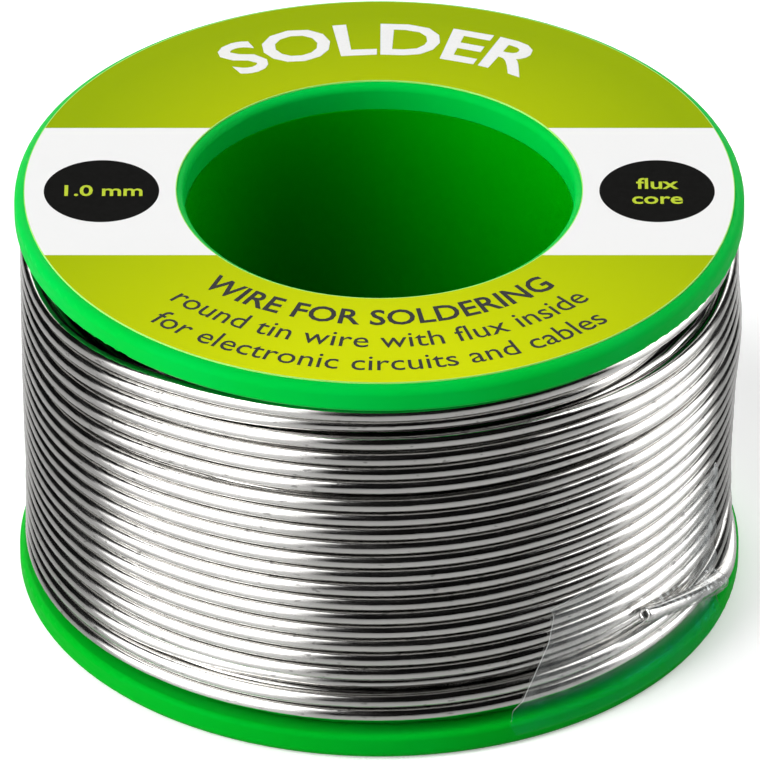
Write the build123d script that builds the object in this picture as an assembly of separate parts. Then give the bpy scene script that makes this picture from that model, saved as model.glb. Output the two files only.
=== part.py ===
from build123d import *
import math
import os

# Solder wire spool, in millimetres. The reel stands on its lower flange: the origin is the centre of
# that flange's outer face, +Z runs up the bore, and -Y is the side where the label reads upright.
# Angles are in degrees, counted from +X towards +Y.

# Reel
FLANGE_RADIUS = 25.0
FLANGE_THICKNESS = 1.9
REEL_HEIGHT = 30.2
RIM_ROUND = 0.65           # rounding of the rim on a flange's outer face
INNER_RIM_ROUND = 0.4      # the same on the face towards the wire
FLANGE_BORE = 13.37        # radius of the spindle hole in a flange
MOUTH_ROUND = 0.5          # rounding where the spindle hole meets a flange's outer face
BARREL_BORE = 13.27        # the barrel's hole is a touch smaller, which leaves a fine ledge
BORE_WALL = 1.5
DRUM_RADIUS = 19.3         # the surface that the wire is wound on
DRUM_WALL = 1.3
RIB_COUNT = 8
RIB_THICKNESS = 1.2
SPIGOT_HEIGHT = 1.2        # the ring on each flange that centres it in the drum
SPIGOT_WALL = 1.2
SPIGOT_CLEARANCE = 0.1

# Label
LABEL_OUTER = 24.33
LABEL_INNER = 13.89
LABEL_THICKNESS = 0.1

# Wire
WIRE_RADIUS = 0.5
FLUX_RADIUS = 0.19
FLUX_CLEARANCE = 0.01
WINDING_RADIUS = 24.65
WINDING_CLEARANCE = 0.02   # between the winding and the reel
ANCHOR_HOLE_RADIUS = 0.65
ANCHOR_HEIGHT = 4.0
ANCHOR_ANGLE = 100.0       # direction in which the wire's start is nearest to the axis
ANCHOR_OFFSET = 16.9       # its distance from the axis there
ANCHOR_REACH = 1.5         # how far its cut end lies behind that place

# The free end of the wire, from the last turn to the cut end. Each point of its route has an angle,
# a distance from the axis and a height.
TAIL_ROUTE = [
    (23.0, 24.15, 2.42),
    (15.0, 24.18, 2.42),
    (7.5, 24.30, 2.43),
    (0.0, 24.45, 2.45),
    (-7.0, 24.65, 2.52),
    (-12.5, 24.88, 2.80),
    (-17.5, 25.08, 3.42),
    (-23.0, 25.20, 4.25),
    (-29.0, 25.22, 5.10),
    (-36.0, 25.22, 6.00),
    (-43.8, 25.22, 6.85),
]
ARC_SHARE = 0.45           # share of the shorter run that each arc of the route takes up

# Clear tape that holds the free end down
TAPE_THICKNESS = 0.06
TAPE_GAP = 0.05            # between the tape and what it covers
TAPE_LEFT = -70.0
TAPE_RIGHT = -17.0
TAPE_TOP = 10.6
TAPE_BOTTOM = 0.9          # its lower edge, on the rim of the lower flange
TAPE_PAST_END = 0.5        # how far the tape's ridge runs past the cut end


def ring(outer, inner, bottom, top):
    """A round tube on the spool's axis, between two heights."""
    height = top - bottom
    tube = Cylinder(outer, height) - Cylinder(inner, height)
    return Pos(0, 0, (bottom + top) / 2) * tube


def turned(section, degrees=360.0):
    """A section drawn as radius across and height up, turned about the spool's axis from +X."""
    return revolve(Plane.XZ * section, Axis.Z, degrees)


def flange():
    """The lower flange: a disc with rounded edges, its spindle hole and the spigot above it."""
    width = FLANGE_RADIUS - FLANGE_BORE
    section = Rectangle(width, FLANGE_THICKNESS, align=(Align.MIN, Align.MIN))
    section = Pos(FLANGE_BORE, 0) * section
    hole_side = section.vertices().group_by(Axis.X)[0].sort_by(Axis.Y)
    rim_side = section.vertices().group_by(Axis.X)[-1].sort_by(Axis.Y)
    section = fillet(rim_side[0], RIM_ROUND)
    section = fillet(section.vertices().sort_by_distance(rim_side[1])[0], INNER_RIM_ROUND)
    section = fillet(section.vertices().sort_by_distance(hole_side[0])[0], MOUTH_ROUND)
    spigot_outer = DRUM_RADIUS - DRUM_WALL - SPIGOT_CLEARANCE
    spigot_inner = spigot_outer - SPIGOT_WALL
    spigot_top = FLANGE_THICKNESS + SPIGOT_HEIGHT
    return turned(section) + ring(spigot_outer, spigot_inner, FLANGE_THICKNESS, spigot_top)


def upper_flange():
    """The same moulding as the lower flange, the other way up."""
    return Pos(0, 0, REEL_HEIGHT) * Rot(180, 0, 0) * flange()


def rod(path, radius):
    """A round bar of one radius along a path."""
    section = Plane(path @ 0, z_dir=path % 0) * Circle(radius)
    return sweep(section, path=path)


def anchor_line(past_drum):
    """The line of the wire's start, from its cut end inside the barrel to beyond the drum's wall."""
    nearest = Vector(ANCHOR_OFFSET, 0, ANCHOR_HEIGHT)
    to_drum = math.sqrt(DRUM_RADIUS**2 - ANCHOR_OFFSET**2)
    cut_end = nearest + Vector(0, ANCHOR_REACH, 0)
    outside = nearest - Vector(0, to_drum + past_drum, 0)
    return Rot(0, 0, ANCHOR_ANGLE) * Line(cut_end, outside)


def barrel():
    """Bore tube and drum, one moulding joined by ribs, with the hole where the wire starts."""
    bottom = FLANGE_THICKNESS
    top = REEL_HEIGHT - FLANGE_THICKNESS
    tube_outer = BARREL_BORE + BORE_WALL
    drum_inner = DRUM_RADIUS - DRUM_WALL
    moulding = ring(tube_outer, BARREL_BORE, bottom, top)
    moulding += ring(DRUM_RADIUS, drum_inner, bottom, top)
    rib_length = drum_inner - tube_outer + (BORE_WALL + DRUM_WALL) / 2
    rib_height = top - bottom - 2 * (SPIGOT_HEIGHT + SPIGOT_CLEARANCE)
    rib_middle = (BARREL_BORE + DRUM_RADIUS) / 2
    rib = Pos(rib_middle, 0, (bottom + top) / 2) * Box(rib_length, RIB_THICKNESS, rib_height)
    for index in range(RIB_COUNT):
        moulding += Rot(0, 0, (index + 0.5) * 360 / RIB_COUNT) * rib
    return moulding - rod(anchor_line(ANCHOR_HOLE_RADIUS), ANCHOR_HOLE_RADIUS)


def top_label():
    """The paper ring stuck on the upper flange."""
    return ring(LABEL_OUTER, LABEL_INNER, REEL_HEIGHT, REEL_HEIGHT + LABEL_THICKNESS)


def tail_points():
    """The corners of the free end's route."""
    points = []
    for angle, distance, height in TAIL_ROUTE:
        turn = math.radians(angle)
        points.append(Vector(distance * math.cos(turn), distance * math.sin(turn), height))
    return points


def tail_path(past_end=0.0):
    """The free end's route as straight runs joined by arcs, the last run longer by past_end."""
    points = tail_points()
    last_run = points[-1] - points[-2]
    points[-1] += last_run.normalized() * past_end
    radii = []
    for before, corner, after in zip(points, points[1:], points[2:]):
        turn = (corner - before).get_angle(after - corner)
        shorter = min((corner - before).length, (after - corner).length)
        radii.append(ARC_SHARE * shorter / math.tan(math.radians(turn / 2)))
    return FilletPolyline(*points, radius=radii), radii


def solder_tail():
    """The free end: solder round a hollow for its flux."""
    path, _ = tail_path()
    return rod(path, WIRE_RADIUS) - rod(path, FLUX_RADIUS)


def tail_flux_core():
    """The flux inside the free end."""
    path, _ = tail_path()
    return rod(path, FLUX_RADIUS - FLUX_CLEARANCE)


def solder_start():
    """The first stretch of the wire, through the anchor hole up to the winding's inner face."""
    inside_drum = Cylinder(DRUM_RADIUS, REEL_HEIGHT, align=(Align.CENTER, Align.CENTER, Align.MIN))
    return rod(anchor_line(2 * WIRE_RADIUS), WIRE_RADIUS) & inside_drum


def solder_winding():
    """The outer shape of all the turns, with the groove that the free end leaves them by."""
    bottom = FLANGE_THICKNESS + WINDING_CLEARANCE
    top = REEL_HEIGHT - FLANGE_THICKNESS - WINDING_CLEARANCE
    turns = ring(WINDING_RADIUS, DRUM_RADIUS + WINDING_CLEARANCE, bottom, top)
    path, _ = tail_path()
    return turns - rod(path, WIRE_RADIUS)


def tape_sector(section):
    """A section turned through the stretch of the winding that the tape covers."""
    return Rot(0, 0, TAPE_LEFT) * turned(section, TAPE_RIGHT - TAPE_LEFT)


def holding_tape():
    """The clear tape: round the winding, over the free end in a ridge, and down the lower rim."""
    inner = WINDING_RADIUS + TAPE_GAP
    rim_inner = FLANGE_RADIUS + TAPE_GAP
    step = FLANGE_THICKNESS + TAPE_GAP
    outline = Polyline(
        (inner, TAPE_TOP),
        (inner, step),
        (rim_inner, step),
        (rim_inner, TAPE_BOTTOM),
        (rim_inner + TAPE_THICKNESS, TAPE_BOTTOM),
        (rim_inner + TAPE_THICKNESS, step + TAPE_THICKNESS),
        (inner + TAPE_THICKNESS, step + TAPE_THICKNESS),
        (inner + TAPE_THICKNESS, TAPE_TOP),
        close=True,
    )
    outside = Pos(inner, step) * Rectangle(2, TAPE_TOP - step, align=(Align.MIN, Align.MIN))
    hollow_path, _ = tail_path(TAPE_PAST_END)
    ridge_path, _ = tail_path(TAPE_PAST_END + TAPE_THICKNESS)
    hollow = rod(hollow_path, WIRE_RADIUS + TAPE_GAP)
    ridge = rod(ridge_path, WIRE_RADIUS + TAPE_GAP + TAPE_THICKNESS) & tape_sector(outside)
    return tape_sector(make_face(outline)) + ridge - hollow


def write(name, shape):
    """One file for each node."""
    export_step(shape, f"parts/{name}.step")


def main():
    os.makedirs("parts", exist_ok=True)
    pieces = {
        "lower_flange": flange(),
        "upper_flange": upper_flange(),
        "barrel": barrel(),
        "top_label": top_label(),
        "solder_winding": solder_winding(),
        "solder_start": solder_start(),
        "solder_tail": solder_tail(),
        "tail_flux_core": tail_flux_core(),
        "holding_tape": holding_tape(),
    }
    for name, shape in pieces.items():
        write(name, shape)
    path, radii = tail_path()
    tube_volume = math.pi * WIRE_RADIUS**2 * path.length
    print("tail length", round(path.length, 2), "radii", [round(radius, 1) for radius in radii])
    print("tail volume", rod(path, WIRE_RADIUS).volume, "section times length", tube_volume)


main()
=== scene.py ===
import math

import bpy
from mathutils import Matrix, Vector, noise


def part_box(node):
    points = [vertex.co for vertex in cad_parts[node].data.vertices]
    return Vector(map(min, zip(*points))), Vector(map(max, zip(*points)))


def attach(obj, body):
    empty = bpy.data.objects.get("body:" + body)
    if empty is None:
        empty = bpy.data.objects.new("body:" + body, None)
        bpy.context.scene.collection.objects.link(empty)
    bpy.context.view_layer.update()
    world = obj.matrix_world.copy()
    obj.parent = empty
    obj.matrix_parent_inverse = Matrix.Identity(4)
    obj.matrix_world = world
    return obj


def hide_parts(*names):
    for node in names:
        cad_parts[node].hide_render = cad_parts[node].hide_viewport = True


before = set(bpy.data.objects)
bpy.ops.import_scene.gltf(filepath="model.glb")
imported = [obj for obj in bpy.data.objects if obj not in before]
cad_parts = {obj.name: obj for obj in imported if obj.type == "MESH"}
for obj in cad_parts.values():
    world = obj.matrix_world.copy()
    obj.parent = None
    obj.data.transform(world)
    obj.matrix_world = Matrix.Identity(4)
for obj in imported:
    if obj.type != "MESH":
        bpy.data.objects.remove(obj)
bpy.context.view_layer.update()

# A full spool of solder wire, in metres. The reel stands on its lower flange with its bore along +Z,
# and the label reads upright from -Y. Angles are in degrees, counted from +X towards +Y.

# Camera
CAMERA_AIM = Vector((0.00005, 0, 0.01459))
CAMERA_ELEVATION = 33.22
CAMERA_DISTANCE = 0.9384
CAMERA_LENS = 643.7        # millimetres, on a sensor 36 mm wide

# Tall soft lights that stand on the floor round the spool: name, the azimuths of their two ends, the
# degrees over which each end fades, height in metres and strength. Azimuth 0 is towards -Y.
LIGHTS = [
    ("left_light", (-99, -16), (20, 27), 5.5, 4.95),
    ("right_light", (72, 121), (14, 12), 3.6, 3.35),
    ("rear_light", (140, 220), (10, 10), 2.0, 2.0),
]
LIGHT_DISTANCE = 2.0
LIGHT_STEP = 2.5           # degrees
FLOOR_HALF = 3.0
FLOOR_GLOW = 0.3           # what the camera sees of the floor in the deepest shadow

# Colours, as shares of red, green and blue
FLOOR_SEEN = (0.95, 0.95, 0.95)
FLOOR_MIRRORED = (0.52, 0.52, 0.52)  # in what the wire mirrors
ROOM_SEEN = (0.9, 0.9, 0.9)
ROOM_MIRRORED = (0.004, 0.004, 0.004)
TIN_BRIGHT = (0.70, 0.69, 0.67)
TIN_DULL = (0.62, 0.61, 0.59)
TIN_NICK = (0.18, 0.175, 0.17)
# painted shade: near-black tin for the wire under the outer turns
TIN_PAINTED_SHADE = (0.04, 0.04, 0.039)
FLUX_DARK = (0.012, 0.008, 0.005)
FLUX_PALE = (0.035, 0.022, 0.012)
# painted light and shade on the label's lime: pale where lit at the front, deep where shaded
LIME_PAINTED_LIGHT = (0.55, 0.62, 0.0)
LIME_PAINTED_SHADE = (0.27, 0.37, 0.0)
BAND_WHITE = (0.78, 0.78, 0.775)
DISC_BLACK = (0.004, 0.004, 0.0035)
CUT_PAPER = (0.38, 0.76, 0.18)
FILM_ON_WIRE = (0.86, 0.90, 0.90)
# painted glare: teal tint of the film where it lies on the rim
FILM_RIM_PAINTED_GLARE = (0.05, 0.62, 0.66)
FILM_EDGE_DARK = (0.45, 0.46, 0.45)
FILM_EDGE_PALE = (0.75, 0.76, 0.75)

# The printing inks: the colour of each, and its colour where it is thin
BLACK_INK = ((0.010, 0.010, 0.009), (0.02, 0.02, 0.018))
WHITE_INK = ((0.76, 0.76, 0.75), (0.72, 0.72, 0.71))
LIME_INK = ((0.45, 0.56, 0.01), (0.40, 0.50, 0.01))

# Green plastic of the three mouldings, all one plastic: how green and how blue each looks. The lower
# flange and the barrel are painted darker green as painted shade, and the blue is a painted teal sheen
PLASTIC_GREENS_WITH_PAINTED_LIGHT = [
    ("lower_flange", 0.38, 0.018),
    ("upper_flange", 0.50, 0.06),
    ("barrel", 0.30, 0.0),
]

# Label
LABEL_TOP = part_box("top_label")[1].z
LABEL_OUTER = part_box("top_label")[1].x
LABEL_INNER = 0.01389
PAPER_EDGE = 0.00006       # width of the pale line along its cut edges
BAND_MIDDLE = -0.0004
BAND_HALF = 0.0081
DISC_AT = 0.0190
DISC_RADIUS = 0.00395
PAINTED_LIGHT_AT = -0.026         # painted light: the lime is painted palest here on the Y axis
PAINTED_LIGHT_TO_SHADE = (0.008, 0.034)  # distances from there between which it darkens into painted shade
BORE_TO_PAINTED_SHADE = (0.0145, 0.0225)  # and the distances from the axis at the rear between which it darkens into painted shade
PAINTED_SHADE_AT_BORE = 0.68       # how much of that painted shade it has there already at the bore
PRINT_HEIGHT = 0.000015

# The words on it: text, size, distance from the axis to the foot of the letters, how much bolder
FRONT_LINES = [
    ("WIRE FOR SOLDERING", 0.0026, 0.0172, 0.00004),
    ("round tin wire with flux inside", 0.0026, 0.0200, 0.0),
    ("for electronic circuits and cables", 0.0026, 0.0228, 0.0),
]
REAR_WORD = ("SOLDER", 0.0056, 0.0174, 0.00012)

# The words in the discs: text, middle, and how far the foot lies from the middle of the band
DISC_WORDS = [
    ("1.0 mm", -DISC_AT, -0.0006),
    ("flux", DISC_AT, 0.0003),
    ("core", DISC_AT, -0.0016),
]
DISC_LETTERS = 0.0019
DISC_BOLDER = 0.00003

# Clear tape over the free end: its cut edge on the left as heights and angles, from the top down
TAPE_LEFT_EDGE = [
    (0.0102, -61.9),
    (0.0096, -61.3),
    (0.0075, -62.2),
    (0.0057, -64.2),
    (0.0033, -66.8),
    (0.0027, -68.5),
    (0.0017, -69.1),
    (0.0009, -68.1),
]
TAPE_RIGHT = -21.0
TAPE_RIGHT_TOP = 0.0138
TAPE_BOTTOM = 0.0009
TAPE_THICKNESS = 0.00005
TAPE_RADIUS = 0.02473      # on the winding
TAPE_RIM_RADIUS = 0.02506  # on the lower flange's rim
TAPE_STEP = (0.0016, 0.0029)  # heights between which it goes from the one to the other
TAPE_COLUMNS = 150
TAPE_ROWS = 70
TENT = 0.0011              # how far from the free end the tape comes down to the winding
TAPE_WRINKLE = 0.00002
TAPE_CRUMPLE = 0.00016     # added to its wrinkles at its right end
CRUMPLED_FROM = 0.78       # the shares of its width between which that begins
CRUMPLED_WHOLLY = 0.94
TAPE_RAGGED = 0.8          # degrees by which its right edge comes and goes
HAZE_ABOVE = (0.0026, 0.0034)  # it is hazier above the rim, from the one height to the other
HAZE_RIGHT = (0.0208, 0.0226)  # and most from here on the X axis
EDGE_SHINE = (0.0016, 0.0036)  # heights between which its cut edge begins to shine

# Wire
WIRE_RADIUS = 0.00053
WIRE_SIDES = 12
FLUX_RADIUS = 0.00020
FLUX_DEPTH = 0.00015       # how far the flux lies inside the cut end
CUT_BEVEL = 0.00007
CURVE_STEPS = 6            # points that Blender gives for each control point
PAINTED_SHADE_TO_BRIGHT = (0.0232, 0.0237)  # distances from the axis between which the painted shade on the hidden wire gives way to bright tin

# The wire's start: a straight stretch from inside the barrel out through the hole in the drum
START_ROUTE = [
    (105.1, 0.01697, 0.0040),
    (100.0, 0.01690, 0.0040),
    (84.0, 0.01758, 0.0040),
    (76.0, 0.01850, 0.0040),
    (68.6, 0.01990, 0.0040),
    (61.0, 0.02000, 0.0037),
]

# The winding: hidden layers that go up and down in turn, then the one that shows, which goes down
INNER_LAYERS = 5
FIRST_LAYER = 0.01980
LAYER_STEP = 0.00087
INNER_TURNS = 24
INNER_STEPS = 12           # control points in a turn
OUTER_TURNS = 22
OUTER_STEPS = 24
LOWEST_TURN = 0.00242
HIGHEST_TURN = 0.02774
CLIMB = 0.12               # the share of a turn in which the wire climbs to the next layer
LAYER_END = 23.0           # the angle at which each layer ends
OUTER_START = 0.02801      # where the outer layer's even pitch is counted from
OUTER_PITCH = 0.001143

# Where the outer layer's wire steps down by more than its pitch: turns done, length of the step in
# turns, and how far it steps
JOGS = [
    (2.80, 0.40, 0.00013),
    (5.52, 0.42, 0.00030),
]

# Where its turns sag together: angle, spread in degrees, height, spread in metres, and how far
SAGS = [
    (-160, 28, 0.0275, 0.0170, 0.00180),
    (-26, 26, 0.0252, 0.0034, 0.00080),
]
SAG_AFTER = 0.25           # turns done before the first sag
RIPPLE = 0.00003           # how uneven its turns are everywhere

# Where its wire has sunk between its neighbours: turns done at both ends, and how deep
SUNKEN = [
    (0.75, 1.17, 0.00130),
    (0.80, 1.36, 0.00050),
    (19.06, 19.41, 0.00070),
]
SINK = 0.07                # the share of a turn in which it sinks

# Where its turns bulge out at the two sides or lie deeper: angle, height, spread in metres, how far
BULGES = [
    (0, 0.0198, 0.0030, 0.00030),
    (0, 0.0085, 0.0058, -0.00028),
    (180, 0.0075, 0.0060, -0.00016),
]

# How far below the highest turn each layer ends, the outer one last
TOP_GAPS = [0.0, 0.0, 0.0, 0.0024, 0.0024, 0.0]

# The free end, from the last turn to the cut end
TAIL_ROUTE = [
    (23.0, 0.02415, 0.00242),
    (15.0, 0.02413, 0.00242),
    (7.5, 0.02417, 0.00243),
    (0.0, 0.02428, 0.00245),
    (-7.0, 0.02445, 0.00252),
    (-12.5, 0.02465, 0.00280),
    (-17.5, 0.02485, 0.00342),
    (-23.0, 0.02498, 0.00425),
    (-29.0, 0.02504, 0.00510),
    (-36.0, 0.02510, 0.00600),
    (-43.8, 0.02516, 0.00685),
]


def on_spool(degrees, radius, height):
    """The point at an angle, a distance from the axis and a height."""
    turn = math.radians(degrees)
    return Vector((radius * math.cos(turn), radius * math.sin(turn), height))


def smooth(share):
    """0 up to 0 and 1 from 1, with a smooth rise between them."""
    share = min(max(share, 0.0), 1.0)
    return share * share * (3 - 2 * share)


def bell(distance, spread):
    """1 at no distance, falling off smoothly over the spread."""
    return math.exp(-((distance / spread) ** 2))


def angle_between(first, second):
    """The difference of two angles, from -180 to 180 degrees."""
    return (first - second + 180) % 360 - 180


# ---- Solder wire ----


def inner_height(layer, done, turns):
    """Height of a hidden layer's wire: odd layers go down, even ones up to where the next starts."""
    share = resting_ends(done / turns)
    if layer % 2:
        share = 1 - share
    height = LOWEST_TURN + (HIGHEST_TURN - TOP_GAPS[layer] - LOWEST_TURN) * share
    if layer % 2 == 0:
        height += (TOP_GAPS[layer] - TOP_GAPS[layer + 1]) * climb(done, turns)
    return height


def resting_ends(share):
    """Runs evenly from 0 to 1, but rests a little at each end."""
    rest = 0.5 / INNER_TURNS
    return min(max((share - rest) / (1 - 2 * rest), 0.0), 1.0)


def ripple(degrees, around, upward):
    """A small unevenness, read off smooth noise on a circle at a height."""
    return RIPPLE * noise.noise(on_spool(degrees, around, upward))


def outer_height(done, degrees):
    """Height of the outer layer's wire after so many turns."""
    height = min(OUTER_START - OUTER_PITCH * done, HIGHEST_TURN)
    for middle, length, step in JOGS:
        height -= step * smooth((done - middle) / length + 0.5)
    sag = 0.0
    if done > SAG_AFTER:
        for angle, spread, middle, reach, drop in SAGS:
            sag += drop * bell(angle_between(degrees, angle), spread) * bell(height - middle, reach)
    return max(height - sag + ripple(degrees, 1.6, 700 * height), LOWEST_TURN)


def bulge(degrees, height):
    """How far the outer layer stands out from an even one."""
    total = 0.0
    for angle, middle, reach, most in BULGES:
        facing = max(math.cos(math.radians(degrees - angle)), 0.0) ** 2
        total += most * facing * bell(height - middle, reach)
    return total


def sunk(done):
    """How deep the outer layer's wire has sunk between its neighbours."""
    depth = 0.0
    for start, end, most in SUNKEN:
        inside = min(done - start, end - done) / SINK
        depth += most * smooth(inside + 0.5)
    return depth


def climb(done, turns):
    """How much of the step to the next layer the wire has climbed."""
    return smooth((done - turns + CLIMB) / CLIMB)


def wound_route():
    """Control points of all the turns, clockwise seen from above, and how many of them are hidden. A
    point lies outside the turn that it controls, by the cosine of half the angle to the next one."""
    route = []
    degrees = LAYER_END + 360 / INNER_STEPS
    inner_share = 1 / math.cos(math.pi / INNER_STEPS)
    for layer in range(INNER_LAYERS):
        turns = INNER_TURNS + (1 / INNER_STEPS if layer == 0 else 0)
        for index in range(round(turns * INNER_STEPS)):
            done = index / INNER_STEPS
            radius = FIRST_LAYER + LAYER_STEP * (layer + climb(done, turns))
            height = inner_height(layer, done, turns)
            route.append(on_spool(degrees, radius * inner_share, height))
            degrees -= 360 / INNER_STEPS
    hidden = len(route)
    outer_share = 1 / math.cos(math.pi / OUTER_STEPS)
    radius = FIRST_LAYER + LAYER_STEP * INNER_LAYERS
    for index in range(OUTER_TURNS * OUTER_STEPS):
        done = index / OUTER_STEPS
        height = outer_height(done, degrees)
        uneven = ripple(degrees, 1.3, 500 * height + 9)
        distance = radius + bulge(degrees, height) + uneven - sunk(done)
        route.append(on_spool(degrees, distance * outer_share, height))
        degrees -= 360 / OUTER_STEPS
    return route, hidden


def curve_points(route):
    """The points of the smooth NURBS curve that a route controls."""
    curve = bpy.data.curves.new("wire_route", "CURVE")
    curve.dimensions = "3D"
    spline = curve.splines.new("NURBS")
    spline.points.add(len(route) - 1)
    for point, place in zip(spline.points, route):
        point.co = (*place, 1.0)
    spline.order_u = 3
    spline.use_endpoint_u = True
    spline.resolution_u = CURVE_STEPS
    holder = bpy.data.objects.new("wire_route", curve)
    mesh = bpy.data.meshes.new_from_object(holder)
    points = [vertex.co.copy() for vertex in mesh.vertices]
    bpy.data.meshes.remove(mesh)
    bpy.data.curves.remove(curve)
    return points


def mesh_piece(name, vertices, faces, smooth_shading=True):
    """A mesh object in the scene."""
    mesh = bpy.data.meshes.new(name)
    mesh.from_pydata([tuple(place) for place in vertices], [], faces)
    mesh.validate()
    if smooth_shading:
        mesh.shade_smooth()
    piece = bpy.data.objects.new(name, mesh)
    bpy.context.scene.collection.objects.link(piece)
    return piece


def section_axes(line, index):
    """Directions along, out of and across a line round the spool's axis at one of its points."""
    along = line[min(index + 1, len(line) - 1)] - line[max(index - 1, 0)]
    along.normalize()
    outward = Vector((line[index].x, line[index].y, 0))
    outward -= along * outward.dot(along)
    outward.normalize()
    return along, outward, along.cross(outward)


def circle_points(centre, axes, radius, sides, forward=0.0):
    """Points of a circle round a line, moved forward along it."""
    along, outward, across = axes
    points = []
    for side in range(sides):
        turn = 2 * math.pi * side / sides
        spoke = outward * math.cos(turn) + across * math.sin(turn)
        points.append(centre + along * forward + spoke * radius)
    return points


def joined(rings, sides):
    """Faces between circles of points that follow each other."""
    faces = []
    for ring in range(rings - 1):
        for side in range(sides):
            beside = (side + 1) % sides
            low, high = ring * sides, (ring + 1) * sides
            faces.append((low + side, low + beside, high + beside, high + side))
    return faces


def wire_line():
    """Points along the middle of the whole wire, closer together where it shows."""
    turns, hidden = wound_route()
    start = [on_spool(*place) for place in START_ROUTE]
    tail = [on_spool(*place) for place in TAIL_ROUTE]
    points = curve_points(start + turns + tail)
    hidden_points = (len(start) + hidden) * CURVE_STEPS
    return points[:hidden_points:2] + points[hidden_points:]


def tube(name, rings):
    """A closed mesh through rings of points that follow each other."""
    vertices = [point for ring in rings for point in ring]
    faces = joined(len(rings), WIRE_SIDES)
    faces.append(tuple(range(WIRE_SIDES)))
    faces.append(tuple(range(len(vertices) - 1, len(vertices) - WIRE_SIDES - 1, -1)))
    return mesh_piece(name, vertices, faces)


def rings_at_end(line, steps):
    """Rings round the cut end, each with its radius and how far it lies past it."""
    axes = section_axes(line, len(line) - 1)
    return [circle_points(line[-1], axes, radius, WIRE_SIDES, forward) for radius, forward in steps]


def solder_wire(line):
    """The whole wire in one length, with its hollow cut end."""
    rings = [
        circle_points(place, section_axes(line, index), WIRE_RADIUS, WIRE_SIDES)
        for index, place in enumerate(line)
    ]
    rings += rings_at_end(line, [
        (WIRE_RADIUS - CUT_BEVEL / 2, CUT_BEVEL),
        (WIRE_RADIUS - 2 * CUT_BEVEL, 1.4 * CUT_BEVEL),
        (FLUX_RADIUS + CUT_BEVEL, CUT_BEVEL),
        (FLUX_RADIUS, 0.0),
        (FLUX_RADIUS, -2 * FLUX_DEPTH),
    ])
    return tube("solder_wire", rings)


def flux_core(line):
    """The flux that shows in the cut end."""
    return tube("flux_core", rings_at_end(line, [
        (0.98 * FLUX_RADIUS, -1.9 * FLUX_DEPTH),
        (0.98 * FLUX_RADIUS, -FLUX_DEPTH),
        (0.5 * FLUX_RADIUS, -0.8 * FLUX_DEPTH),
    ]))


# ---- Materials ----


def new_material(name):
    """A material with its nodes, links and shader."""
    made = bpy.data.materials.new(name)
    made.use_nodes = True
    nodes = made.node_tree.nodes
    return made, nodes, made.node_tree.links, nodes["Principled BSDF"]


def noise_node(nodes, links, stretch, scale, detail):
    """Noise over the object's own coordinates, stretched along its axes."""
    place = nodes.new("ShaderNodeTexCoord")
    mapping = nodes.new("ShaderNodeMapping")
    mapping.inputs["Scale"].default_value = stretch
    texture = nodes.new("ShaderNodeTexNoise")
    texture.inputs["Scale"].default_value = scale
    texture.inputs["Detail"].default_value = detail
    links.new(place.outputs["Object"], mapping.inputs["Vector"])
    links.new(mapping.outputs["Vector"], texture.inputs["Vector"])
    return texture.outputs["Fac"]


def ranged(nodes, links, value, low, high, start=0.3, end=0.7):
    """A value from start to end, turned into one from low to high."""
    node = nodes.new("ShaderNodeMapRange")
    node.inputs["From Min"].default_value = start
    node.inputs["From Max"].default_value = end
    node.inputs["To Min"].default_value = low
    node.inputs["To Max"].default_value = high
    links.new(value, node.inputs["Value"])
    return node.outputs["Result"]


def mixed(nodes, links, share, first, second):
    """Two colours, or sockets that give them, mixed by a share."""
    node = nodes.new("ShaderNodeMix")
    node.data_type = "RGBA"
    links.new(share, node.inputs["Factor"])
    for socket, colour in ((node.inputs[6], first), (node.inputs[7], second)):
        if isinstance(colour, tuple):
            socket.default_value = (*colour, 1)
        else:
            links.new(colour, socket)
    return node.outputs[2]


def object_place(nodes, links):
    """The X, Y and Z sockets of a place on the object."""
    place = nodes.new("ShaderNodeTexCoord")
    split = nodes.new("ShaderNodeSeparateXYZ")
    links.new(place.outputs["Object"], split.inputs["Vector"])
    return split.outputs["X"], split.outputs["Y"], split.outputs["Z"]


def calculated(nodes, links, operation, *values):
    """A sum or another operation on numbers and sockets."""
    node = nodes.new("ShaderNodeMath")
    node.operation = operation
    for socket, value in zip(node.inputs, values):
        if isinstance(value, (int, float)):
            socket.default_value = value
        else:
            links.new(value, socket)
    return node.outputs["Value"]


def distance_from(nodes, links, x, y, at_x, at_y):
    """Distance from a point, seen from above."""
    across = calculated(nodes, links, "SUBTRACT", x, at_x)
    along = calculated(nodes, links, "SUBTRACT", y, at_y)
    across_squared = calculated(nodes, links, "MULTIPLY", across, across)
    along_squared = calculated(nodes, links, "MULTIPLY", along, along)
    total = calculated(nodes, links, "ADD", across_squared, along_squared)
    return calculated(nodes, links, "SQRT", total)


def bumped(nodes, links, shader, value, strength, distance):
    """Relief from a value."""
    node = nodes.new("ShaderNodeBump")
    node.inputs["Strength"].default_value = strength
    node.inputs["Distance"].default_value = distance
    links.new(value, node.inputs["Height"])
    links.new(node.outputs["Normal"], shader.inputs["Normal"])


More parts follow.
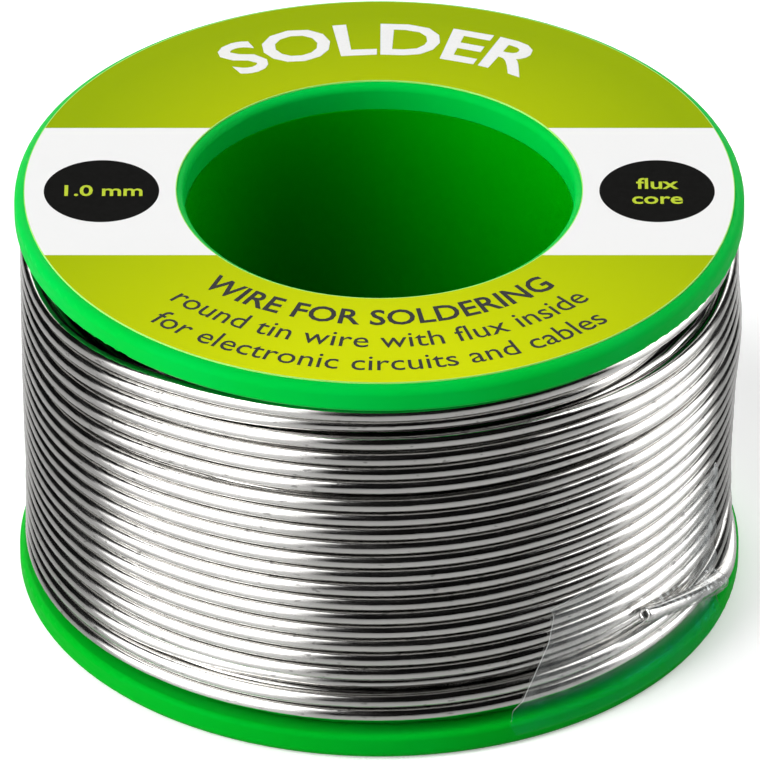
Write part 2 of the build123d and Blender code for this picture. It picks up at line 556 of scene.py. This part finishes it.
def tin_material():
    """Bright drawn solder wire with fine lines along it, duller patches and small dark nicks. Under the
    outer turns it is painted near black as painted shade."""
    made, nodes, links, shader = new_material("solder_tin")
    shader.inputs["Metallic"].default_value = 1.0
    lines = noise_node(nodes, links, (1, 1, 40), 260, 4)
    patches = ranged(nodes, links, noise_node(nodes, links, (1, 1, 2.5), 190, 2), 0, 1)
    colour = mixed(nodes, links, patches, TIN_BRIGHT, TIN_DULL)
    nicks = ranged(nodes, links, noise_node(nodes, links, (1, 1, 2.5), 1300, 2), 0, 0.6, 0.66, 0.70)
    colour = mixed(nodes, links, nicks, colour, TIN_NICK)
    x, y, _ = object_place(nodes, links)
    radius = distance_from(nodes, links, x, y, 0.0, 0.0)
    outer = ranged(nodes, links, radius, 0, 1, *PAINTED_SHADE_TO_BRIGHT)
    # painted shade: wire nearer the axis than the outer turns is painted near black
    colour = mixed(nodes, links, outer, TIN_PAINTED_SHADE, colour)
    links.new(colour, shader.inputs["Base Color"])
    links.new(ranged(nodes, links, lines, 0.07, 0.19), shader.inputs["Roughness"])
    bumped(nodes, links, shader, lines, 0.2, 0.00004)
    return made


def flux_material():
    """Dark resin."""
    made, nodes, links, shader = new_material("flux_resin")
    grain = noise_node(nodes, links, (1, 1, 1), 9000, 2)
    colour = mixed(nodes, links, grain, FLUX_DARK, FLUX_PALE)
    links.new(colour, shader.inputs["Base Color"])
    shader.inputs["Roughness"].default_value = 0.4
    return made


def reel_material(name, green_with_painted_light, painted_teal_sheen):
    """Green moulded plastic that lets a little light into its edges. Its green is set darker per
    moulding as painted shade, and its blue is a painted teal sheen, patchy with the mottling.
    """
    made, nodes, links, shader = new_material(name)
    mottle_and_sheen_patches = ranged(nodes, links, noise_node(nodes, links, (1, 1, 1), 70, 2), 0, 1)
    # painted light: the green per moulding holds painted shade, and the blue is a painted teal sheen
    colour = mixed(nodes, links, mottle_and_sheen_patches, (0.0, 0.94 * green_with_painted_light, 0.6 * painted_teal_sheen), (0.0, green_with_painted_light, painted_teal_sheen))
    links.new(colour, shader.inputs["Base Color"])
    scuffs = noise_node(nodes, links, (1, 1, 3), 900, 4)
    links.new(ranged(nodes, links, scuffs, 0.42, 0.60), shader.inputs["Roughness"])
    shader.inputs["Specular IOR Level"].default_value = 0.06
    shader.inputs["Specular Tint"].default_value = (0.0, 1.0, 0.7, 1)
    shader.inputs["Subsurface Weight"].default_value = 0.15
    shader.inputs["Subsurface Radius"].default_value = (0.2, 1.0, 0.3)
    shader.inputs["Subsurface Scale"].default_value = 0.0012
    bumped(nodes, links, shader, scuffs, 0.05, 0.00005)
    return made


def lime_with_painted_light(nodes, links, x, y, radius):
    """Lime with painted light and shade: palest at the front, deepening away from it as painted shade,
    and at the rear away from the bore.
    """
    off_painted_light = distance_from(nodes, links, x, y, 0.0, PAINTED_LIGHT_AT)
    shade_from_front = ranged(nodes, links, off_painted_light, 0, 1, *PAINTED_LIGHT_TO_SHADE)
    shade_from_bore = ranged(nodes, links, radius, PAINTED_SHADE_AT_BORE, 1, *BORE_TO_PAINTED_SHADE)
    depth = calculated(nodes, links, "MINIMUM", shade_from_front, shade_from_bore)
    # painted light and shade: the lime is painted pale at the front and deep towards the rear
    return mixed(nodes, links, depth, LIME_PAINTED_LIGHT, LIME_PAINTED_SHADE)


def label_material():
    """Printed paper: lime with painted light and shade, a white band and two black discs, pale where its
    edge is cut.
    """
    made, nodes, links, shader = new_material("label_print")
    x, y, _ = object_place(nodes, links)
    radius = distance_from(nodes, links, x, y, 0.0, 0.0)
    colour = lime_with_painted_light(nodes, links, x, y, radius)
    off_band = calculated(nodes, links, "ABSOLUTE", calculated(nodes, links, "SUBTRACT", y, BAND_MIDDLE))
    in_band = calculated(nodes, links, "LESS_THAN", off_band, BAND_HALF)
    colour = mixed(nodes, links, in_band, colour, BAND_WHITE)
    side = calculated(nodes, links, "ABSOLUTE", x)
    off_disc = distance_from(nodes, links, side, y, DISC_AT, BAND_MIDDLE)
    in_disc = calculated(nodes, links, "LESS_THAN", off_disc, DISC_RADIUS)
    colour = mixed(nodes, links, in_disc, colour, DISC_BLACK)
    outside = calculated(nodes, links, "GREATER_THAN", radius, LABEL_OUTER - PAPER_EDGE)
    inside = calculated(nodes, links, "LESS_THAN", radius, LABEL_INNER + PAPER_EDGE)
    cut = calculated(nodes, links, "MAXIMUM", outside, inside)
    colour = mixed(nodes, links, cut, colour, CUT_PAPER)
    links.new(colour, shader.inputs["Base Color"])
    fibres = noise_node(nodes, links, (1, 1, 1), 2500, 5)
    links.new(ranged(nodes, links, fibres, 0.42, 0.58), shader.inputs["Roughness"])
    shader.inputs["Specular IOR Level"].default_value = 0.01
    bumped(nodes, links, shader, fibres, 0.08, 0.00002)
    return made


def recoloured(name, made):
    """Gives a CAD node a material in place of its own."""
    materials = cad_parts[name].data.materials
    materials.clear()
    materials.append(made)


def ink_material(name, colour, thin):
    """Printing ink with a slightly uneven cover."""
    made, nodes, links, shader = new_material(name)
    cover = ranged(nodes, links, noise_node(nodes, links, (1, 1, 1), 6000, 3), 0, 1)
    links.new(mixed(nodes, links, cover, colour, thin), shader.inputs["Base Color"])
    shader.inputs["Roughness"].default_value = 0.5
    shader.inputs["Specular IOR Level"].default_value = 0.12
    return made


def film_material():
    """Thin clear film: hardly to be seen, hazier in its fine creases and above the rim, and most where
    it is crumpled at its right end. On the rim its colour is a painted teal glare."""
    made, nodes, links, shader = new_material("clear_film")
    creases = noise_node(nodes, links, (1, 1, 1), 900, 4)
    x, _, z = object_place(nodes, links)
    above_rim = ranged(nodes, links, z, 0, 1, *HAZE_ABOVE)
    to_right = ranged(nodes, links, x, 0, 1, *HAZE_RIGHT)
    at_end = calculated(nodes, links, "MULTIPLY", above_rim, to_right)
    crumpled = ranged(nodes, links, creases, 0, 0.22, 0.42, 0.66)
    crumpled = calculated(nodes, links, "MULTIPLY", crumpled, at_end)
    clear = ranged(nodes, links, creases, 0.04, 0.10)
    clear = calculated(nodes, links, "MULTIPLY", clear, ranged(nodes, links, above_rim, 0.35, 1, 0, 1))
    links.new(calculated(nodes, links, "ADD", clear, crumpled), shader.inputs["Alpha"])
    # painted glare: the film is tinted teal where it lies on the rim
    colour = mixed(nodes, links, above_rim, FILM_RIM_PAINTED_GLARE, FILM_ON_WIRE)
    links.new(colour, shader.inputs["Base Color"])
    shader.inputs["Metallic"].default_value = 0.65
    links.new(ranged(nodes, links, creases, 0.16, 0.30), shader.inputs["Roughness"])
    bumped(nodes, links, shader, creases, 0.5, 0.0001)
    return made


def film_edge_material():
    """The film's cut edge: it catches the light, least where it lies on the rim."""
    made, nodes, links, shader = new_material("film_cut_edge")
    nicks = noise_node(nodes, links, (1, 1, 1), 3000, 2)
    colour = mixed(nodes, links, nicks, FILM_EDGE_DARK, FILM_EDGE_PALE)
    links.new(colour, shader.inputs["Base Color"])
    _, _, z = object_place(nodes, links)
    links.new(ranged(nodes, links, z, 0.08, 0.9, *EDGE_SHINE), shader.inputs["Alpha"])
    shader.inputs["Roughness"].default_value = 0.4
    return made


# ---- Print on the label ----


def flat_text(body, size, bolder):
    """A line of words as a thin mesh, its middle at the origin and its foot on the X axis."""
    curve = bpy.data.curves.new("text", "FONT")
    curve.body = body
    curve.size = size
    curve.align_x = "CENTER"
    curve.resolution_u = 3
    curve.extrude = PRINT_HEIGHT / 2
    curve.offset = bolder
    holder = bpy.data.objects.new("text", curve)
    mesh = bpy.data.meshes.new_from_object(holder)
    bpy.data.objects.remove(holder)
    vertices = [vertex.co.copy() for vertex in mesh.vertices]
    faces = [tuple(polygon.vertices) for polygon in mesh.polygons]
    bpy.data.meshes.remove(mesh)
    bpy.data.curves.remove(curve)
    return vertices, faces


def bent(vertices, radius, rear=False):
    """Letters laid along an arc of the label: tops towards the bore, or outwards at the rear."""
    placed = []
    for place in vertices:
        if rear:
            placed.append((90 - math.degrees(place.x / radius), radius + place.y))
        else:
            placed.append((-90 + math.degrees(place.x / radius), radius - place.y))
    return [on_spool(*spot, LABEL_TOP + v.z + PRINT_HEIGHT / 2) for spot, v in zip(placed, vertices)]


def straight(vertices, x, y):
    """Letters laid straight, with the middle of their foot at a point of the label."""
    lift = LABEL_TOP + PRINT_HEIGHT / 2
    return [Vector((v.x + x, v.y + y, v.z + lift)) for v in vertices]


def print_piece(name, words, ink):
    """Words that are already in place, as one piece on the label."""
    vertices, faces = [], []
    for word_vertices, word_faces in words:
        first = len(vertices)
        vertices += word_vertices
        faces += [tuple(first + corner for corner in face) for face in word_faces]
    piece = mesh_piece(name, vertices, faces, False)
    piece.data.materials.append(ink)
    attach(piece, "root")


def label_print():
    """Generic words: three lines in front, a word at the rear and one in each disc."""
    lines = []
    for body, size, radius, bolder in FRONT_LINES:
        vertices, faces = flat_text(body, size, bolder)
        lines.append((bent(vertices, radius), faces))
    black = ink_material("black_ink", *BLACK_INK)
    print_piece("front_lettering", lines, black)
    body, size, radius, bolder = REAR_WORD
    vertices, faces = flat_text(body, size, bolder)
    white = ink_material("white_ink", *WHITE_INK)
    print_piece("rear_lettering", [(bent(vertices, radius, True), faces)], white)
    discs = []
    for body, x, y in DISC_WORDS:
        vertices, faces = flat_text(body, DISC_LETTERS, DISC_BOLDER)
        discs.append((straight(vertices, x, y + BAND_MIDDLE), faces))
    lime = ink_material("lime_ink", *LIME_INK)
    print_piece("disc_lettering", discs, lime)


# ---- Clear tape ----


def left_edge(height):
    """The angle of the tape's left edge at a height, straight between the points of its outline."""
    for (upper, first), (lower, second) in zip(TAPE_LEFT_EDGE, TAPE_LEFT_EDGE[1:]):
        if height >= lower:
            share = min(max((upper - height) / (upper - lower), 0.0), 1.0)
            return first + (second - first) * share
    return TAPE_LEFT_EDGE[-1][1]


def tape_base(degrees, height):
    """The tape's distance from the axis: on the winding, then out and down over the rim."""
    on_turns = TAPE_RADIUS + bulge(degrees, height)
    foot, head = TAPE_STEP
    outward = smooth((head - height) / (head - foot))
    return on_turns + (TAPE_RIM_RADIUS - on_turns) * outward


def tape_lift(degrees, height, base, free_end):
    """How far the tape stands off where it passes over the free end."""
    lift = 0.0
    for angle, radius, level in free_end:
        across = math.radians(degrees - angle) * base
        away = math.hypot(across, height - level)
        if away < TENT:
            top = radius + WIRE_RADIUS + TAPE_THICKNESS - base
            lift = max(lift, top * (1 - smooth((away - WIRE_RADIUS / 2) / (TENT - WIRE_RADIUS / 2))))
    return lift


def tape_wrinkle(share, degrees, height):
    """How far its wrinkles lift the tape, more where it is crumpled at the right end."""
    crumpled = smooth((share - CRUMPLED_FROM) / (CRUMPLED_WHOLLY - CRUMPLED_FROM))
    uneven = noise.noise(Vector((degrees * 0.8, 1100 * height, 4)))
    return (TAPE_WRINKLE + TAPE_CRUMPLE * crumpled) * (1 + uneven)


def tape_point(share, down, free_end):
    """The point of the tape at a share of its width and a share of its height."""
    left_top = TAPE_LEFT_EDGE[0][0]
    top = left_top + (TAPE_RIGHT_TOP - left_top) * share
    height = top + (TAPE_BOTTOM - top) * down
    left = left_edge(height)
    right = TAPE_RIGHT + TAPE_RAGGED * noise.noise(Vector((3.0, 900 * height, 0)))
    degrees = left + (right - left) * share
    base = tape_base(degrees, height)
    lift = tape_lift(degrees, height, base, free_end) + tape_wrinkle(share, degrees, height)
    return on_spool(degrees, base + lift, height)


def holding_tape(line):
    """The film, draped over the turns and the free end, and crumpled at its right end."""
    free_end = []
    for place in line[-len(TAIL_ROUTE) * CURVE_STEPS:]:
        radius = math.hypot(place.x, place.y)
        free_end.append((math.degrees(math.atan2(place.y, place.x)), radius, place.z))
    vertices = []
    for column in range(TAPE_COLUMNS + 1):
        for row in range(TAPE_ROWS + 1):
            vertices.append(tape_point(column / TAPE_COLUMNS, row / TAPE_ROWS, free_end))
    faces = []
    step = TAPE_ROWS + 1
    for column in range(TAPE_COLUMNS):
        for row in range(TAPE_ROWS):
            corner = column * step + row
            faces.append((corner, corner + 1, corner + step + 1, corner + step))
    film = mesh_piece("clear_tape", vertices, faces)
    thickness = film.modifiers.new("thickness", "SOLIDIFY")
    thickness.thickness = TAPE_THICKNESS
    thickness.offset = 1
    thickness.material_offset_rim = 1
    film.data.materials.append(film_material())
    film.data.materials.append(film_edge_material())
    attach(film, "root")
    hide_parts("holding_tape")


# ---- Light, floor and camera ----


def glow_material(name, strength):
    """Plain light, as strong as the mesh's glow says at each point."""
    made = bpy.data.materials.new(name)
    made.use_nodes = True
    nodes, links = made.node_tree.nodes, made.node_tree.links
    nodes.clear()
    output = nodes.new("ShaderNodeOutputMaterial")
    emission = nodes.new("ShaderNodeEmission")
    shares = nodes.new("ShaderNodeAttribute")
    shares.attribute_name = "glow"
    power = ranged(nodes, links, shares.outputs["Fac"], 0, strength, 0, 1)
    links.new(power, emission.inputs["Strength"])
    links.new(emission.outputs["Emission"], output.inputs["Surface"])
    return made


def soft_light(name, azimuths, fades, tall, strength):
    """A tall soft light, part of a cylinder round the spool, that the camera doesn't see."""
    start, end = azimuths
    columns = round((end - start) / LIGHT_STEP) + 1
    corners, glow = [], []
    for column in range(columns):
        azimuth = start + column * LIGHT_STEP
        for height in (0, tall):
            corners.append(on_spool(azimuth - 90, LIGHT_DISTANCE, height))
            glow.append(smooth((azimuth - start) / fades[0]) * smooth((end - azimuth) / fades[1]))
    faces = [(2 * n, 2 * n + 1, 2 * n + 3, 2 * n + 2) for n in range(columns - 1)]
    panel = mesh_piece(name, corners, faces, False)
    panel.data.attributes.new("glow", "FLOAT", "POINT").data.foreach_set("value", glow)
    panel.data.materials.append(glow_material(name, strength))
    panel.visible_camera = False


def floor():
    """A plain floor: pale and matte to the camera, darker and glossier in what the wire mirrors."""
    size = FLOOR_HALF
    corners = [(-size, -size, 0), (size, -size, 0), (size, size, 0), (-size, size, 0)]
    ground = mesh_piece("floor", corners, [(0, 1, 2, 3)], False)
    made, nodes, links, shader = new_material("floor_pale")
    seen = nodes.new("ShaderNodeLightPath").outputs["Is Camera Ray"]
    colour = mixed(nodes, links, seen, FLOOR_MIRRORED, FLOOR_SEEN)
    links.new(colour, shader.inputs["Base Color"])
    links.new(ranged(nodes, links, seen, 0.22, 0.7, 0, 1), shader.inputs["Roughness"])
    links.new(ranged(nodes, links, seen, 1.0, 0.2, 0, 1), shader.inputs["Specular IOR Level"])
    shader.inputs["Emission Color"].default_value = (1, 1, 1, 1)
    links.new(ranged(nodes, links, seen, 0.0, FLOOR_GLOW, 0, 1), shader.inputs["Emission Strength"])
    ground.data.materials.append(made)


def surroundings():
    """A dark room that the camera sees as pale."""
    world = bpy.data.worlds.new("studio")
    bpy.context.scene.world = world
    world.use_nodes = True
    nodes, links = world.node_tree.nodes, world.node_tree.links
    seen = nodes.new("ShaderNodeLightPath").outputs["Is Camera Ray"]
    colour = mixed(nodes, links, seen, ROOM_MIRRORED, ROOM_SEEN)
    links.new(colour, nodes["Background"].inputs["Color"])


def camera():
    """The camera at the height and distance from which the spool was seen."""
    turn = math.radians(CAMERA_ELEVATION)
    back = Vector((0, -math.cos(turn), math.sin(turn)))
    data = bpy.data.cameras.new("camera")
    data.lens = CAMERA_LENS
    data.sensor_width = 36
    data.clip_start = 0.01
    data.clip_end = 20
    seen_from = bpy.data.objects.new("camera", data)
    seen_from.location = CAMERA_AIM + back * CAMERA_DISTANCE
    seen_from.rotation_mode = "QUATERNION"
    seen_from.rotation_quaternion = (-back).to_track_quat("-Z", "Y")
    bpy.context.scene.collection.objects.link(seen_from)
    bpy.context.scene.camera = seen_from


camera()
surroundings()
floor()
for light in LIGHTS:
    soft_light(*light)
bpy.context.scene.view_settings.view_transform = "Standard"

line = wire_line()
wire = solder_wire(line)
plug = flux_core(line)
wire.data.materials.append(tin_material())
plug.data.materials.append(flux_material())
for piece, slot in ((wire, "solder"), (plug, "flux")):
    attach(piece, "root")
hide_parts("solder_winding", "solder_start", "solder_tail")
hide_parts("tail_flux_core")

# each moulding gets its painted shade and painted teal sheen
for name, green_with_painted_light, painted_teal_sheen in PLASTIC_GREENS_WITH_PAINTED_LIGHT:
    recoloured(name, reel_material(name + "_plastic", green_with_painted_light, painted_teal_sheen))
recoloured("top_label", label_material())
label_print()
holding_tape(line)
